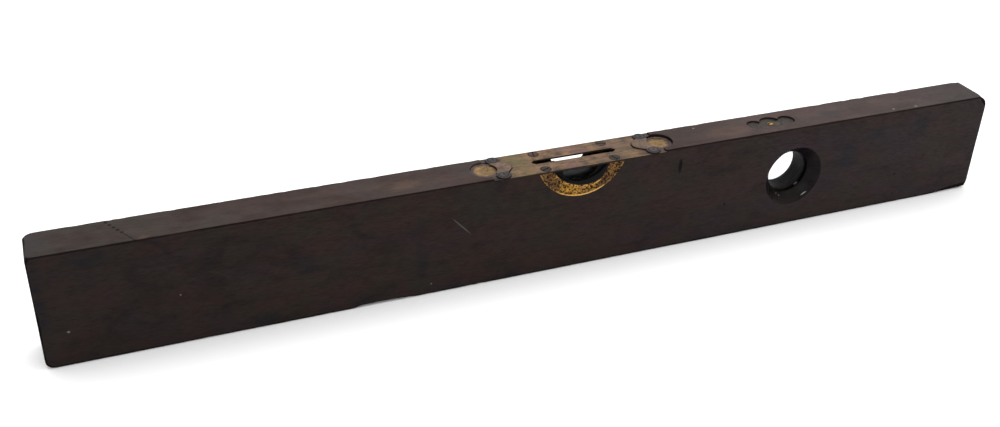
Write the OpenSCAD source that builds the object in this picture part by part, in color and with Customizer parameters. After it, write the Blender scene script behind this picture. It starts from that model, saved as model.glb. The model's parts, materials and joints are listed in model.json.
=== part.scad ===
/* [Stock] */
// Length of the wooden stock
stock_length = 711; // [560:1:760]
// Height of the stock
stock_height = 82; // [78:0.5:92]
// Width of the stock
stock_width = 30.8; // [30.8:0.1:34]
// Rounding worn along the long edges
edge_round = 1.2; // [0.4:0.1:2]
// Rounding worn at the corners of the left end
left_corner = 3; // [1:0.5:6]
// Rounding worn at the top corner of the right end
right_top_corner = 8; // [1:0.5:12]
// Rounding worn at the bottom corner of the right end
right_bottom_corner = 4; // [1:0.5:12]

/* [Top plate] */
// Centre of the level from mid-length
level_x = 6; // [-20:1:20]
// Length of the plate's full-width part
plate_length = 130; // [126:1:136]
// Thickness of the plate
plate_thick = 1.3; // [1.2:0.1:1.6]
// Depth of the plate's face below the top of the stock
plate_sunk = 1; // [0.6:0.1:1.4]
// Length of the straight part of the sight slot
slot_length = 59; // [40:1:62]
// Width of the sight slot
slot_width = 5.5; // [4.5:0.1:6]
// Radius of the discs in the plate's round ends
disc_radius = 10.3; // [10:0.1:10.4]
// Height of the left disc
left_disc_height = 2; // [1.5:0.1:2.6]
// Height of the right disc
right_disc_height = 1.2; // [1:0.1:2.6]
// Height of the raised collars
collar_height = 0.8; // [0.5:0.1:1]

/* [Side lips] */
// Radius of the side view opening
view_radius = 24.5; // [23.5:0.1:25]
// Radius of the lip's outer rim
lip_radius = 34.5; // [34:0.1:36]
// Height of the centre of both circles above the plate's underside
lip_centre_rise = 12.6; // [12.2:0.1:13]
// Depth of the lip let into the stock
lip_depth = 4.2; // [3.8:0.1:4.4]
// Fall of the lip's face from its rim to the opening
lip_fall = 2.4; // [1:0.1:2.6]
// Radius of the arch in the wood behind the lips
view_arch_radius = 14.5; // [13:0.5:18]

/* [Plumb port] */
// Distance of the port from mid-length
port_x = 183; // [150:1:220]
// Height of the port's axis
port_z = 41.2; // [40:0.1:42.5]
// Radius of the straight bore
port_bore_radius = 16; // [12:0.5:20]
// Radius of the dish at each face
port_rim_radius = 24; // [21:0.5:26]
// Depth of the front dish
port_front_depth = 9; // [5:0.5:10]
// Depth of the rear dish
port_rear_depth = 5; // [3:0.5:9]

/* [Plumb plate] */
// Distance of the plumb plate from mid-length
plumb_plate_x = 166; // [130:1:200]
// Depth of its face below the top of the stock
plumb_plate_sunk = 1.3; // [0.4:0.1:2]
// Thickness of the plumb plate
plumb_plate_thick = 1.4; // [1:0.1:2]
// Radius of the middle lobe's recess
middle_lobe_radius = 8.4; // [7:0.1:10]
// Radius of the side lobes' recesses
side_lobe_radius = 6.4; // [5:0.1:7.5]
// Distance from the middle lobe to each side lobe
lobe_spacing = 13.3; // [12:0.1:14]

/* [Level glass] */
// Radius of the glass
glass_radius = 6.5; // [6:0.1:6.5]
// Thickness of the glass wall
glass_wall = 1.2; // [0.8:0.1:1.3]
// Length of the glass without its sealed tip
glass_length = 88; // [84:1:90]
// Length of the bubble
bubble_length = 22; // [16:1:24]
// Travel of the bubble to each side
bubble_travel = 24; // [10:1:24]

/* [Adjustment] */
// Radius of the hinge pin
pin_radius = 1.5; // [1.2:0.1:1.8]
// Radius of the adjusting screw's shank
screw_radius = 2; // [1.6:0.1:2.2]
// Number of turns in the adjusting spring
spring_turns = 4; // [3:1:4]
// Thickness of the spring's wire
wire_thick = 0.9; // [0.6:0.1:1]

/* [Hidden] */
$fn = 64;

// Overlap that lets a cut run clear of the face that it starts from
past = 1;
// Gap round a piece that drops into a recess
drop_gap = 0.3;
// Seam round a plate that is let in
seam_gap = 0.1;
// Radial clearance of a turning fit
running_gap = 0.06;
half_width = stock_width / 2;
sides = [-1, 1];

// Levels of the top plate, of the seats of its end discs and of the shelves under them
plate_top = stock_height - plate_sunk;
plate_bottom = plate_top - plate_thick;
seat_step = 0.9;
disc_seat = plate_bottom - seat_step;
shelf_thick = 2.2;
shelf_bottom = disc_seat - shelf_thick;
end_offset = 66;
recess_radius = disc_radius + drop_gap;
shelf_start = 51.5;
shelf_half_width = 8;
disc_rim_radius = 9.4;
disc_rim_slope = 0.5;
disc_rim_step = 0.3;
disc_dish = 0.5;

// The collars: a middle lobe that points at the slot, two ears, and an edge that laps over the disc
lobe_radius = 6.3;
left_lobe_offset = -12.6;
right_lobe_offset = -14.2;
ear_radius = 4.8;
ear_offset = [-9.4, 10.5];
collar_cusp = [-13.4, 8.8];
collar_inner_radius = 8.2;

// The seat of a ring in the plumb port
port_seat_radius = 17.6;
port_seat_depth = 1.6;

// Screws in the plate and the collars
plate_screw_offset = [26, 11.3];
head_radius = 3.3;
head_depth = 1.1;
shank_radius = 1.5;
plate_screw_length = 6;
driver_slot = 0.8;
dome_radius = 3.1;
dome_height = 0.7;
collar_shank_radius = 1.6;
collar_screw_length = 16;
plumb_head_radius = 2.4;
plumb_head_height = 0.9;
plumb_shank_radius = 1.3;
plumb_screw_length = 12;

// The side lips and the lugs that take the plate screws
lip_centre_z = plate_bottom + lip_centre_rise;
rim_width = 1.3;
rim_step = 0.4;
lug_width = 5;
lug_height = 5.5;
mortise_half_width = 9;

// The level glass, its case and the space round them
axis_z = disc_seat - 8.3;
bore_radius = glass_radius - glass_wall;
glass_corner = 3.5;
bore_corner = 2.5;
tip_length = 2.4;
case_bore = 7.3;
case_radius = 8.2;
case_half_length = 50;
case_top = axis_z + 6.5;
case_plug = 3;
plaster_depth = 11;
window_half_length = 12.5;
window_floor = axis_z - 4.2;
window_corner = 3;
mortise_half_length = 52.5;
mortise_floor = axis_z - 11;
pocket_radius = 9.3;
pocket_half_width = 7;
hinge_pocket_floor = axis_z - 5;
screw_pocket_floor = axis_z - 7;
screw_tip_floor = axis_z - 14;

// The bubble and the space that the spirit leaves for it
bubble_floor = 3.2;
bubble_radius = bore_radius - drop_gap;
bubble_half_width = 3.8;

// The hinge under the left round end
bracket_radius = 9;
bracket_half_width = 6.5;
bracket_thick = 1.6;
lug_gap = 3.1;
lug_thick = 2;
knuckle_half_width = 3;
eye_radius = 3.4;
rivet_offset = 6.5;
rivet_radius = 1.2;
rivet_head_radius = 2;
pin_head_radius = 2.4;
pin_head_length = 0.8;

// The flange, the screw and the spring under the right round end
flange_top = axis_z - 0.7;
flange_thick = 3;
flange_half_width = 5.5;
gusset_rise = 5;
gusset_run = 6;
gusset_half_thick = 1.2;
screw_head_radius = 3.5;
screw_head_height = 1.5;
screw_head_play = 0.1;
screw_bottom = axis_z - 11;
spring_radius = 3.6;
spring_height = shelf_bottom - flange_top;
spring_rings = 8;
spring_sides = 6;
least_gap_allowed = 0.4;

// A chip out of the front bottom edge
chip_x = -138;
chip_half_length = 19;
chip_depth = 1.7;
chip_radius = (chip_half_length ^ 2 + chip_depth ^ 2) / (2 * chip_depth);
chip_tilt = 7;

// Rectangle whose four corners are rounded one by one, counter-clockwise from the origin
module rounded_rect(size, radii) {
    corners = [[0, 0], [size.x, 0], [size.x, size.y], [0, size.y]];
    difference() {
        square(size);
        for (i = [0:3])
            translate(corners[i]) rotate(90 * i) corner_cut(radii[i]);
    }
}

module corner_cut(radius) {
    difference() {
        translate([-past, -past]) square(radius + past);
        translate([radius, radius]) circle(radius);
    }
}

// Centred rectangle with semicircular ends
module long_round(length, width) {
    square([length - width, width], center = true);
    for (s = sides)
        translate([s * (length - width) / 2, 0]) circle(width / 2);
}

// Rod along X with rounded rims
module round_rod(length, radius, corner) {
    rotate([0, 90, 0])
        rotate_extrude()
            translate([0, -length / 2]) rounded_rect([radius, length], [0, corner, corner, 0]);
}

// Outline in the XZ plane, extruded along Y through the whole stock and past it
module cut_across() {
    rotate([90, 0, 0])
        linear_extrude(stock_width + 2 * past, center = true) children();
}

module on_level_axis() {
    translate([level_x, 0, axis_z]) children();
}

// Puts its children at one end of the plate, side -1 for the left and 1 for the right
module at_plate_end(side) {
    translate([level_x, 0, 0])
        mirror([side < 0 ? 1 : 0, 0, 0])
            translate([end_offset, 0, 0]) children();
}

// Repeats its children at the four plate screws
module at_plate_screws() {
    for (sx = sides, sy = sides)
        translate([level_x + sx * plate_screw_offset.x, sy * plate_screw_offset.y, 0]) children();
}

// Repeats its children at the four collar ears
module at_ears() {
    for (sx = sides, sy = sides)
        at_plate_end(sx)
            translate([ear_offset.x, sy * ear_offset.y, 0]) children();
}

// The stock before anything is cut in it: three crossed outlines give every edge its rounding
module stock_blank() {
    intersection() {
        rotate([90, 0, 0])
            linear_extrude(stock_width + 2 * past, center = true)
                translate([-stock_length / 2, 0])
                    rounded_rect([stock_length, stock_height],
                                 [left_corner, right_bottom_corner, right_top_corner, left_corner]);
        rotate([90, 0, 90])
            linear_extrude(stock_length + 2 * past, center = true)
                translate([-half_width, 0])
                    rounded_rect([stock_width, stock_height],
                                 [edge_round, edge_round, edge_round, edge_round]);
        translate([-stock_length / 2, -half_width, -past])
            linear_extrude(stock_height + 2 * past)
                rounded_rect([stock_length, stock_width],
                             [edge_round, edge_round, edge_round, edge_round]);
    }
}

// Lower round end of the plate: a disc joined to the full-width part by a short neck
module shelf(radius, height) {
    translate([0, 0, shelf_bottom]) {
        cylinder(r = radius, h = height);
        translate([shelf_start - end_offset, -shelf_half_width, 0])
            cube([end_offset - shelf_start, 2 * shelf_half_width, shelf_thick + seat_step]);
    }
}

// Seat of the plate and of its round ends
module plate_seat() {
    translate([level_x - plate_length / 2, -half_width - past, plate_bottom])
        cube([plate_length, stock_width + 2 * past, stock_height]);
    for (side = sides)
        at_plate_end(side) shelf(recess_radius, stock_height);
}

// Long mortise for the vial case, with a pocket at each end for the hinge and the screw
module mortise() {
    translate([level_x, 0, mortise_floor])
        linear_extrude(stock_height)
            translate([-mortise_half_length, -mortise_half_width])
                rounded_rect(2 * [mortise_half_length, mortise_half_width],
                             [window_corner, window_corner, window_corner, window_corner]);
    for (side = sides)
        at_plate_end(side)
            translate([0, 0, side < 0 ? hinge_pocket_floor : screw_pocket_floor]) {
                cylinder(r = pocket_radius, h = stock_height);
                translate([shelf_start - end_offset - past, -pocket_half_width, 0])
                    cube([end_offset - shelf_start, 2 * pocket_half_width, stock_height]);
            }
    at_plate_end(1)
        translate([0, 0, screw_tip_floor]) cylinder(r = screw_radius + past, h = screw_pocket_floor);
}

// Arch right through the stock behind the side views, and the seat of a lip in each face
module side_view() {
    translate([level_x, 0, lip_centre_z])
        rotate([90, 0, 0]) {
            for (s = sides)
                translate([0, 0, s * half_width])
                    cylinder(r = lip_radius, h = 2 * lip_depth, center = true, $fn = 128);
        }
    translate([level_x, 0, stock_height])
        rotate([90, 0, 0]) cylinder(r = view_arch_radius, h = stock_width, center = true, $fn = 96);
    for (s = sides)
        mirror([0, s > 0 ? 1 : 0, 0]) lip_lugs();
}

// Straight bore with a dish at each face, and at the foot of the front dish the seat of a ring
module plumb_port() {
    translate([port_x, 0, port_z])
        rotate([90, 0, 0]) {
            cylinder(r = port_bore_radius, h = stock_width + 2 * past, center = true, $fn = 96);
            port_dish(port_front_depth);
            mirror([0, 0, 1]) port_dish(port_rear_depth);
            translate([0, 0, half_width - port_front_depth - port_seat_depth])
                cylinder(r = port_seat_radius, h = port_seat_depth + past, $fn = 96);
        }
}

module port_dish(depth) {
    translate([0, 0, half_width - depth])
        cylinder(r1 = port_bore_radius, r2 = port_rim_radius, h = depth, $fn = 96);
}

// Three lobes in a row, smaller all round by the gap given
module trefoil(gap, height) {
    cylinder(r = middle_lobe_radius - gap, h = height);
    for (s = sides)
        translate([s * lobe_spacing, 0, 0]) cylinder(r = side_lobe_radius - gap, h = height);
}

// Puts its children at the level of the plumb plate's face
module at_plumb_plate() {
    translate([plumb_plate_x, 0, stock_height - plumb_plate_sunk]) children();
}

module plumb_plate_seat() {
    at_plumb_plate() {
        translate([0, 0, -plumb_plate_thick]) trefoil(0, plumb_plate_thick + plumb_plate_sunk + past);
        translate([0, 0, -plumb_screw_length]) cylinder(r = plumb_shank_radius, h = plumb_screw_length);
    }
}

module chipped_edge() {
    translate([chip_x, -half_width, 0])
        rotate([chip_tilt, 0, 0])
            translate([0, 0, chip_depth - chip_radius])
                rotate([90, 0, 0]) cylinder(r = chip_radius, h = stock_width, center = true, $fn = 128);
}

module stock() {
    color("#3a2521")
        difference() {
            stock_blank();
            plate_seat();
            mortise();
            side_view();
            plumb_port();
            plumb_plate_seat();
            chipped_edge();
            at_ears()
                translate([0, 0, plate_top - collar_screw_length])
                    cylinder(r = collar_shank_radius, h = collar_screw_length);
        }
}

// Sight slot: straight sides and a stepped point at each end
module slot_outline() {
    shoulder = slot_width * 0.3;
    half = slot_length / 2;
    for (s = sides)
        mirror([s < 0 ? 1 : 0, 0])
            polygon([
                [0, -slot_width / 2], [half, -slot_width / 2], [half + 1, -shoulder],
                [half + 2.8, 0], [half + 1, shoulder], [half, slot_width / 2],
                [0, slot_width / 2]
            ]);
}

// Hole for a countersunk screw, its wide end at the height given
module countersink(top, radius, head, depth, through) {
    translate([0, 0, top - depth]) cylinder(r1 = radius, r2 = head, h = depth);
    translate([0, 0, top - through]) cylinder(r = radius, h = through);
    translate([0, 0, top]) cylinder(r = head, h = past);
}

module top_plate() {
    color("#86703f")
        difference() {
            union() {
                translate([level_x - plate_length / 2, -half_width, plate_bottom])
                    cube([plate_length, stock_width, plate_thick]);
                for (side = sides)
                    at_plate_end(side) shelf(disc_radius, shelf_thick);
            }
            for (side = sides)
                at_plate_end(side)
                    translate([0, 0, disc_seat]) cylinder(r = recess_radius, h = stock_height);
            translate([level_x, 0, plate_bottom - past])
                linear_extrude(plate_thick + 2 * past) slot_outline();
            at_plate_screws()
                countersink(plate_top, shank_radius, head_radius, head_depth, plate_thick + past);
            at_ears()
                translate([0, 0, plate_bottom - past])
                    cylinder(r = collar_shank_radius, h = plate_thick + 2 * past);
            at_rivets()
                countersink(disc_seat, rivet_radius, rivet_head_radius, rivet_radius,
                            shelf_thick + past);
            at_plate_end(1) screw_seat();
        }
}

// Counterbore and clearance hole for the adjusting screw
module screw_seat() {
    translate([0, 0, shelf_bottom - past])
        cylinder(r = screw_radius + running_gap, h = shelf_thick + 2 * past);
    translate([0, 0, disc_seat - screw_head_height - screw_head_play])
        cylinder(r = screw_head_radius + drop_gap, h = screw_head_height + past);
}

// Shallow dish with a flat rim, which lies on a shelf of the plate
module end_disc(height) {
    translate([0, 0, disc_seat])
        rotate_extrude()
            polygon([
                [0, 0], [disc_radius, 0], [disc_radius, height], [disc_rim_radius, height],
                [disc_rim_radius - disc_rim_slope, height - disc_rim_step], [0, height - disc_dish]
            ]);
}

module left_end_disc() {
    color("#b0904c") at_plate_end(-1) end_disc(left_disc_height);
}

module right_end_disc() {
    color("#b0904c") at_plate_end(1) end_disc(right_disc_height);
}

// Raised three-lobed collar, seen from the middle of its disc
module collar(lobe_offset) {
    lobe_edge = 0.97 * lobe_radius * cos(45);
    translate([0, 0, plate_top])
        difference() {
            union() {
                translate([lobe_offset, 0, 0]) cylinder(r = lobe_radius, h = collar_height);
                for (s = sides)
                    translate([ear_offset.x, s * ear_offset.y, 0])
                        cylinder(r = ear_radius, h = collar_height);
                linear_extrude(collar_height)
                    polygon([
                        [0, 0], [ear_offset.x, -ear_offset.y], [collar_cusp.x, -collar_cusp.y],
                        [lobe_offset - lobe_edge, -lobe_edge], [lobe_offset - lobe_edge, lobe_edge],
                        collar_cusp, ear_offset
                    ]);
            }
            translate([0, 0, -past]) cylinder(r = collar_inner_radius, h = collar_height + 2 * past);
            for (s = sides)
                translate([ear_offset.x, s * ear_offset.y, -past])
                    cylinder(r = collar_shank_radius, h = collar_height + 2 * past);
        }
}

module left_collar() {
    color("#7d675c") at_plate_end(-1) collar(left_lobe_offset);
}

module right_collar() {
    color("#7d675c") at_plate_end(1) collar(right_lobe_offset);
}

// Lugs behind the horns of the front lip, open towards the mortise
module lip_lugs() {
    back = half_width - lip_depth;
    for (s = sides)
        translate([level_x + s * plate_screw_offset.x, -(back + mortise_half_width) / 2, plate_bottom])
            rotate([90, 0, 0])
                linear_extrude(back - mortise_half_width + rim_step, center = true) {
                    translate([-lug_width / 2, lug_width / 2 - lug_height])
                        square([lug_width, lug_height - lug_width / 2]);
                    translate([0, lug_width / 2 - lug_height]) circle(lug_width / 2);
                }
}

// Section of a lip: raised rim, small step, and a face that falls to the opening
module lip_section() {
    face = half_width;
    rim_inner = lip_radius - rim_width;
    polygon([
        [view_radius, face - lip_depth], [lip_radius, face - lip_depth], [lip_radius, face],
        [rim_inner, face], [rim_inner - rim_step, face - rim_step],
        [view_radius + rim_step, face - lip_fall], [view_radius, face - lip_fall - rim_step]
    ]);
}

module side_lip() {
    difference() {
        union() {
            intersection() {
                translate([level_x, 0, lip_centre_z])
                    rotate([90, 0, 0]) rotate_extrude($fn = 128) lip_section();
                translate([level_x - lip_radius, -half_width, 0])
                    cube([2 * lip_radius, half_width, plate_bottom]);
            }
            lip_lugs();
        }
        at_plate_screws()
            translate([0, 0, plate_top - plate_screw_length])
                cylinder(r = shank_radius, h = plate_screw_length);
    }
}

module front_side_lip() {
    color("#b8913c") side_lip();
}

module rear_side_lip() {
    color("#b8913c") mirror([0, 1, 0]) side_lip();
}

// Straight slot for a driver, cut into a head from above
module driver_cut(radius, depth, turn) {
    rotate([0, 0, turn])
        translate([-radius - past, -driver_slot / 2, -depth])
            cube([2 * (radius + past), driver_slot, depth + past]);
}

module plate_screws() {
    turns = [20, 75, 110, 160];
    color("#6b5a3c")
        for (i = [0:3]) {
            sx = i < 2 ? -1 : 1;
            sy = i % 2 == 0 ? -1 : 1;
            translate([level_x + sx * plate_screw_offset.x, sy * plate_screw_offset.y, plate_top])
                difference() {
                    union() {
                        translate([0, 0, -head_depth])
                            cylinder(r1 = shank_radius, r2 = head_radius, h = head_depth);
                        translate([0, 0, -plate_screw_length])
                            cylinder(r = shank_radius, h = plate_screw_length - head_depth);
                    }
                    driver_cut(head_radius, driver_slot, turns[i]);
                }
        }
}

// Low round head that stands on a face
module round_head(radius, height) {
    sphere_radius = (radius ^ 2 + height ^ 2) / (2 * height);
    intersection() {
        translate([0, 0, height - sphere_radius]) sphere(r = sphere_radius);
        cylinder(r = radius, h = height);
    }
}

module collar_screws() {
    color("#454543")
        at_ears()
            translate([0, 0, plate_top + collar_height]) {
                difference() {
                    round_head(dome_radius, dome_height);
                    translate([0, 0, dome_height]) driver_cut(dome_radius, driver_slot / 2, 80);
                }
                translate([0, 0, -collar_height - collar_screw_length])
                    cylinder(r = collar_shank_radius, h = collar_height + collar_screw_length);
            }
}

// Inlaid three-lobed plate over the plumb port
module plumb_plate() {
    color("#6f6c5a")
        at_plumb_plate()
            difference() {
                translate([0, 0, -plumb_plate_thick]) trefoil(seam_gap, plumb_plate_thick);
                translate([0, 0, -plumb_plate_thick - past])
                    cylinder(r = plumb_shank_radius, h = plumb_plate_thick + 2 * past);
            }
}

module plumb_plate_screw() {
    color("#b8913c")
        at_plumb_plate() {
            difference() {
                round_head(plumb_head_radius, plumb_head_height);
                translate([0, 0, plumb_head_height]) driver_cut(plumb_head_radius, driver_slot * 0.75, 12);
            }
            translate([0, 0, -plumb_screw_length]) cylinder(r = plumb_shank_radius, h = plumb_screw_length);
        }
}

// Repeats its children at the two rivets of the hinge bracket
module at_rivets() {
    at_plate_end(-1)
        for (s = sides)
            translate([s * rivet_offset, 0, 0]) children();
}

module hinge_bracket() {
    foot_bottom = shelf_bottom - bracket_thick;
    color("#8d7440")
        difference() {
            at_plate_end(-1) {
                translate([0, 0, foot_bottom])
                    linear_extrude(bracket_thick)
                        intersection() {
                            circle(bracket_radius);
                            square(2 * [bracket_radius, bracket_half_width], center = true);
                        }
                for (s = sides)
                    translate([0, s * (lug_gap + lug_thick / 2), 0])
                        rotate([90, 0, 0])
                            linear_extrude(lug_thick, center = true) {
                                translate([0, axis_z]) circle(eye_radius);
                                translate([-eye_radius, axis_z])
                                    square([2 * eye_radius, foot_bottom - axis_z]);
                            }
            }
            hinge_line() cylinder(r = pin_radius, h = stock_width, center = true);
            at_rivets()
                translate([0, 0, foot_bottom - past])
                    cylinder(r = rivet_radius, h = bracket_thick + 2 * past);
        }
}

// Lays its children, drawn along Z, on the hinge's axis
module hinge_line() {
    at_plate_end(-1)
        translate([0, 0, axis_z]) rotate([90, 0, 0]) children();
}

module bracket_rivets() {
    rivet_length = shelf_thick + bracket_thick;
    color("#9a7f45")
        at_rivets() {
            translate([0, 0, disc_seat - rivet_length]) cylinder(r = rivet_radius, h = rivet_length);
            translate([0, 0, disc_seat - rivet_radius])
                cylinder(r1 = rivet_radius, r2 = rivet_head_radius, h = rivet_radius);
            translate([0, 0, disc_seat - rivet_length - pin_head_length])
                cylinder(r1 = rivet_radius, r2 = rivet_head_radius, h = pin_head_length);
        }
}

module hinge_pin() {
    shank = 2 * (lug_gap + lug_thick);
    color("#8a8a86")
        hinge_line() {
            cylinder(r = pin_radius, h = shank, center = true);
            for (s = sides)
                translate([0, 0, s * (shank + pin_head_length) / 2])
                    cylinder(r = pin_head_radius, h = pin_head_length, center = true);
        }
}

// Keeps what lies under the flat top of the case
module under_case_top() {
    intersection() {
        children();
        translate([level_x - 2 * end_offset, -half_width, 0])
            cube([4 * end_offset, stock_width, case_top]);
    }
}

// Brass tube, flat on top and open there, with a window cut through both sides
module vial_case() {
    color("#8d7440")
        under_case_top()
            difference() {
                on_level_axis()
                    rotate([0, 90, 0])
                        difference() {
                            cylinder(r = case_radius, h = 2 * case_half_length, center = true);
                            cylinder(r = case_bore, h = 2 * (case_half_length + past), center = true);
                        }
                translate([level_x, 0, 0])
                    cut_across()
                        translate([-window_half_length, window_floor])
                            rounded_rect([2 * window_half_length, stock_height],
                                         [window_corner, window_corner, 0, 0]);
            }
}

// Plug that closes one end of the case
module case_end_plug(side) {
    under_case_top()
        on_level_axis()
            translate([side * (case_half_length - case_plug / 2), 0, 0])
                rotate([0, 90, 0]) cylinder(r = case_bore, h = case_plug, center = true);
}

module case_hinge_end() {
    reach = end_offset - case_half_length;
    color("#8d7440")
        difference() {
            union() {
                case_end_plug(-1);
                at_plate_end(-1)
                    translate([0, 0, axis_z])
                        rotate([90, 0, 0])
                            linear_extrude(2 * knuckle_half_width, center = true) {
                                circle(eye_radius);
                                translate([-reach - past, -eye_radius])
                                    square([reach + past, 2 * eye_radius]);
                            }
            }
            hinge_line() cylinder(r = pin_radius + running_gap, h = stock_width, center = true);
        }
}

module case_screw_end() {
    reach = end_offset - case_half_length;
    color("#8d7440")
        difference() {
            union() {
                case_end_plug(1);
                at_plate_end(1) {
                    translate([0, 0, flange_top - flange_thick])
                        linear_extrude(flange_thick) {
                            circle(flange_half_width);
                            translate([-reach - past, -flange_half_width])
                                square([reach + past, 2 * flange_half_width]);
                        }
                    rotate([90, 0, 0])
                        linear_extrude(2 * gusset_half_thick, center = true)
                            polygon([
                                [-reach - past, flange_top - past], [gusset_run - reach, flange_top - past],
                                [gusset_run - reach, flange_top], [-reach, flange_top + gusset_rise],
                                [-reach - past, flange_top + gusset_rise]
                            ]);
                }
            }
            at_plate_end(1)
                translate([0, 0, flange_top - flange_thick - past])
                    cylinder(r = screw_radius + running_gap, h = flange_thick + 2 * past);
        }
}

// The level glass as a solid form, with the tip where it was sealed
module glass_form() {
    on_level_axis() {
        round_rod(glass_length, glass_radius, glass_corner);
        translate([glass_length / 2 - glass_wall, 0, 0])
            rotate([0, 90, 0]) cylinder(r1 = glass_corner / 2, r2 = glass_wall / 2, h = tip_length);
    }
}

module glass_bore() {
    on_level_axis() round_rod(glass_length - 2 * glass_wall, bore_radius, bore_corner);
}

module vial_glass() {
    color("#c8d6c8", 0.35)
        difference() {
            glass_form();
            glass_bore();
        }
}

// Plaster between the glass and the case, at one end
module plaster(side) {
    inner = case_half_length - case_plug;
    difference() {
        under_case_top()
            on_level_axis()
                translate([side * (inner - plaster_depth / 2), 0, 0])
                    rotate([0, 90, 0]) cylinder(r = case_bore, h = plaster_depth, center = true);
        glass_form();
    }
}

module left_plaster() {
    color("#d8d2c2") plaster(-1);
}

module right_plaster() {
    color("#d8d2c2") plaster(1);
}

// The spirit fills the bore up to the space in which the bubble runs
module spirit() {
    channel = bubble_length + 2 * (bubble_travel + drop_gap);
    color("#b9c46a", 0.5)
        difference() {
            glass_bore();
            on_level_axis()
                translate([-channel / 2, -glass_radius, bubble_floor - drop_gap])
                    cube([channel, 2 * glass_radius, glass_radius]);
        }
}

module bubble() {
    color("#eef4e6", 0.4)
        on_level_axis()
            intersection() {
                rotate([0, 90, 0]) cylinder(r = bubble_radius, h = bubble_length, center = true);
                translate([0, 0, bubble_floor])
                    linear_extrude(bubble_radius) long_round(bubble_length, 2 * bubble_half_width);
            }
}

module adjusting_screw() {
    head_bottom = disc_seat - screw_head_height - screw_head_play / 2;
    color("#8a8a86")
        at_plate_end(1) {
            difference() {
                translate([0, 0, head_bottom])
                    cylinder(r = screw_head_radius, h = screw_head_height - screw_head_play / 2);
                translate([0, 0, disc_seat - screw_head_play])
                    driver_cut(screw_head_radius, driver_slot, 60);
            }
            translate([0, 0, screw_bottom])
                cylinder(r = screw_radius, h = head_bottom - screw_bottom);
        }
}

// Points of the spring's centre line, and the frame across the wire at each of them
spring_count = spring_turns * spring_rings;
spring_rise = spring_height - wire_thick;

function spring_point(i) =
    let (angle = 360 * i / spring_rings)
    [
        spring_radius * cos(angle),
        spring_radius * sin(angle),
        wire_thick / 2 + spring_rise * i / spring_count
    ];

function spring_ring(i) =
    let (angle = 360 * i / spring_rings)
    [
        for (k = [0:spring_sides - 1])
            let (a = 360 * k / spring_sides, w = wire_thick / 2)
            spring_point(i) + [w * cos(a) * cos(angle), w * cos(a) * sin(angle), w * sin(a)]
    ];

// Least distance between the surfaces of two neighbouring turns, on the points of the centre line
spring_gap = min([
    for (i = [0:spring_count - spring_rings])
        norm(spring_point(i + spring_rings) - spring_point(i)) - wire_thick
]);
echo(least_gap_in_spring = spring_gap, allowed = least_gap_allowed);
assert(spring_gap > least_gap_allowed, "the turns of the spring come too close");

module adjusting_spring() {
    points = [for (i = [0:spring_count]) each spring_ring(i)];
    walls = [
        for (i = [0:spring_count - 1], k = [0:spring_sides - 1])
            let (
                a = i * spring_sides + k,
                b = i * spring_sides + (k + 1) % spring_sides
            )
            each [[a, a + spring_sides, b + spring_sides], [a, b + spring_sides, b]]
    ];
    caps = [
        for (k = [1:spring_sides - 2])
            each [
                [0, k, k + 1],
                [for (n = [0, k + 1, k]) spring_count * spring_sides + n]
            ]
    ];
    color("#77766f")
        at_plate_end(1)
            translate([0, 0, flange_top]) polyhedron(points, concat(walls, caps));
}

stock();
top_plate();
left_end_disc();
right_end_disc();
left_collar();
right_collar();
front_side_lip();
rear_side_lip();
plate_screws();
collar_screws();
plumb_plate();
plumb_plate_screw();
hinge_bracket();
bracket_rivets();
hinge_pin();
vial_case();
case_hinge_end();
case_screw_end();
left_plaster();
right_plaster();
vial_glass();
spirit();
bubble();
adjusting_screw();
adjusting_spring();
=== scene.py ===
import json
import math
import random

import bmesh
import bpy
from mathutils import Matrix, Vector, noise
from mathutils.bvhtree import BVHTree

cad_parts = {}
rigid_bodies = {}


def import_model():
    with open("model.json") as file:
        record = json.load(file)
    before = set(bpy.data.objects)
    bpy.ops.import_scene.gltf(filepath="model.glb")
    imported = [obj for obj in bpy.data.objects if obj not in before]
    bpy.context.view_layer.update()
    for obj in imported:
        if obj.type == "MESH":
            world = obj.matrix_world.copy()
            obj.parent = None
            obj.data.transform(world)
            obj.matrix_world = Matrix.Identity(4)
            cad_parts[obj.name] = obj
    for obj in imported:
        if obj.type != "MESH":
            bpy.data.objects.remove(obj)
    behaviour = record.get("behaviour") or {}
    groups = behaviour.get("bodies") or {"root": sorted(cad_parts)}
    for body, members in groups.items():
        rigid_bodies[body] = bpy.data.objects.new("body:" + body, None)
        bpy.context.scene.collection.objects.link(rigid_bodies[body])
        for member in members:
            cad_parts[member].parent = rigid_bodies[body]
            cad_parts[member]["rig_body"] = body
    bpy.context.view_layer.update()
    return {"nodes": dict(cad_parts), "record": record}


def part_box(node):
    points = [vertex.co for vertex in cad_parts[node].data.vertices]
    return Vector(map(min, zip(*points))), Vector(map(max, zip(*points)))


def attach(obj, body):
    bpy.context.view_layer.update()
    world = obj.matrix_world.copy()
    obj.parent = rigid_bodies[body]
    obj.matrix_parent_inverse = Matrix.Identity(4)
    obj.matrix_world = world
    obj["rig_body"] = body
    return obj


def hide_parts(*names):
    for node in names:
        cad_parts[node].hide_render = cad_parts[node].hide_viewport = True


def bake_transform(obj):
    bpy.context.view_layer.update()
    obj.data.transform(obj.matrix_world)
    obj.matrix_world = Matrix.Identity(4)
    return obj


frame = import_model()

MM = 0.001
NODES = frame["nodes"]


def middle_of(node):
    low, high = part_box(node)
    return (low + high) / 2


# Sizes that the frame gives
HALF_LENGTH, HALF_WIDTH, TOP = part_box("stock")[1]
LEVEL = middle_of("top_plate")
BORE = next(mount for mount in frame["record"]["mounts"] if mount["name"] == "plumb_port")
PORT = Vector((BORE["pos_m"][0], 0, BORE["pos_m"][2]))
BORE_RADIUS = BORE["dims"]["r_mm"] * MM

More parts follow.
